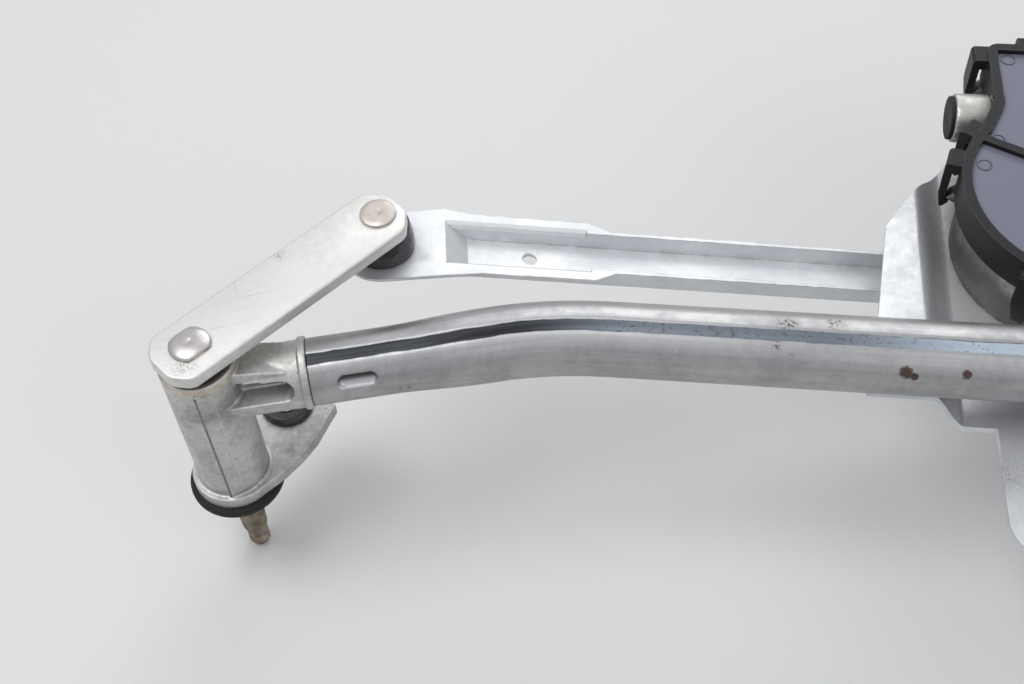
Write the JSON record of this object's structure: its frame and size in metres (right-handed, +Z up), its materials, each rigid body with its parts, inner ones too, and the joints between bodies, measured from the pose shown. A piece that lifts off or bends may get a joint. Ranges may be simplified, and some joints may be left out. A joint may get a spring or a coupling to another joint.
{
  "type": "wiper linkage",
  "caption": "Windscreen wiper linkage: bent tubular frame with die-cast pivots, gear motor on a pressed plate, crank, pressed links and levers that turn the spindles.",
  "frame": {"origin": "centre of the left mounting sleeve, on the plane that the linkage bolts to", "axes": "X along the frame from the left to the right pivot, Y away from the spindles towards the motor, Z up, parallel to the spindles, which point down"},
  "size_m": [0.6421, 0.207, 0.1255],
  "materials": {
    "tube_steel": "satin galvanised",
    "zinc_lever": "satin zinc",
    "zinc_link": "bright zinc",
    "zinc_plate": "bright zinc",
    "die_cast": "as cast",
    "gear_cast": "as cast",
    "bronze": "sintered",
    "spindle_steel": "turned",
    "hardware": "bright",
    "weld": "as welded",
    "rubber": "matt",
    "socket_plastic": "glossy",
    "cover_plastic": "fine texture",
    "wheel_plastic": "moulded",
    "can_paint": "semi-gloss black"
  },
  "bodies": {
    "frame": {"frame_tube": "tube_steel", "tube_welds": "weld", "left_pivot_housing": "die_cast", "right_pivot_housing": "die_cast", "left_bearing_bushes": "bronze", "right_bearing_bushes": "bronze", "left_seal": "rubber", "right_seal": "rubber", "left_mount_grommet": "rubber", "right_mount_grommet": "rubber", "plate_mount_grommet": "rubber", "left_mount_sleeve": "hardware", "right_mount_sleeve": "hardware", "plate_mount_sleeve": "hardware", "motor_plate": "zinc_plate", "motor_screws": "hardware", "gear_housing": "gear_cast", "gear_cover": "cover_plastic", "thrust_cap": "cover_plastic", "output_bush": "bronze", "motor_can": "can_paint", "can_screws": "hardware"},
    "crank": {"output_shaft": "spindle_steel", "worm_wheel": "wheel_plastic", "crank_arm": "zinc_lever", "crank_nut": "hardware", "crank_pin": "hardware"},
    "left_lever_assembly": {"left_lever": "zinc_lever", "left_spindle": "spindle_steel", "left_ball_stud": "spindle_steel", "left_washer": "socket_plastic", "left_circlip": "hardware"},
    "right_lever_assembly": {"right_lever": "zinc_lever", "right_spindle": "spindle_steel", "right_ball_stud": "spindle_steel", "right_washer": "socket_plastic", "right_circlip": "hardware"},
    "left_link_assembly": {"left_link": "zinc_link", "left_lever_socket": "socket_plastic", "left_crank_socket": "socket_plastic", "left_crank_ball": "hardware"},
    "right_link_assembly": {"right_link": "zinc_link", "right_lever_socket": "socket_plastic", "right_crank_socket": "socket_plastic", "right_crank_ball": "hardware"}
  },
  "joints": [
    {"name": "crank_spin", "type": "hinge", "parent": "frame", "child": "crank", "pos_m": [0.278, 0.0705, 0.025], "axis": [0, 0, 1], "range_deg": [0, 180]},
    {"name": "left_pivot", "type": "hinge", "parent": "frame", "child": "left_lever_assembly", "pos_m": [-0.014, -0.0265, 0.04], "axis": [0, 0, 1], "range_deg": [0, 89.5]},
    {"name": "right_pivot", "type": "hinge", "parent": "frame", "child": "right_lever_assembly", "pos_m": [0.546, -0.0265, 0.04], "axis": [0, 0, 1], "range_deg": [0, 85.7]},
    {"name": "left_link_swing", "type": "hinge", "parent": "left_lever_assembly", "child": "left_link_assembly", "pos_m": [0.03631, 0.03179, 0.0635], "axis": [0, 0, 1], "range_deg": [-91.4, 0]},
    {"name": "right_link_swing", "type": "hinge", "parent": "right_lever_assembly", "child": "right_link_assembly", "pos_m": [0.59631, 0.03179, 0.0475], "axis": [0, 0, 1], "range_deg": [-82.8, 0]}
  ],
  "couplings": [
    {"joint": "left_pivot", "follows": "crank_spin", "ratio": 0.49646},
    {"joint": "right_pivot", "follows": "crank_spin", "ratio": 0.47572},
    {"joint": "left_link_swing", "follows": "crank_spin", "ratio": -0.50695},
    {"joint": "right_link_swing", "follows": "crank_spin", "ratio": -0.45968}
  ]
}
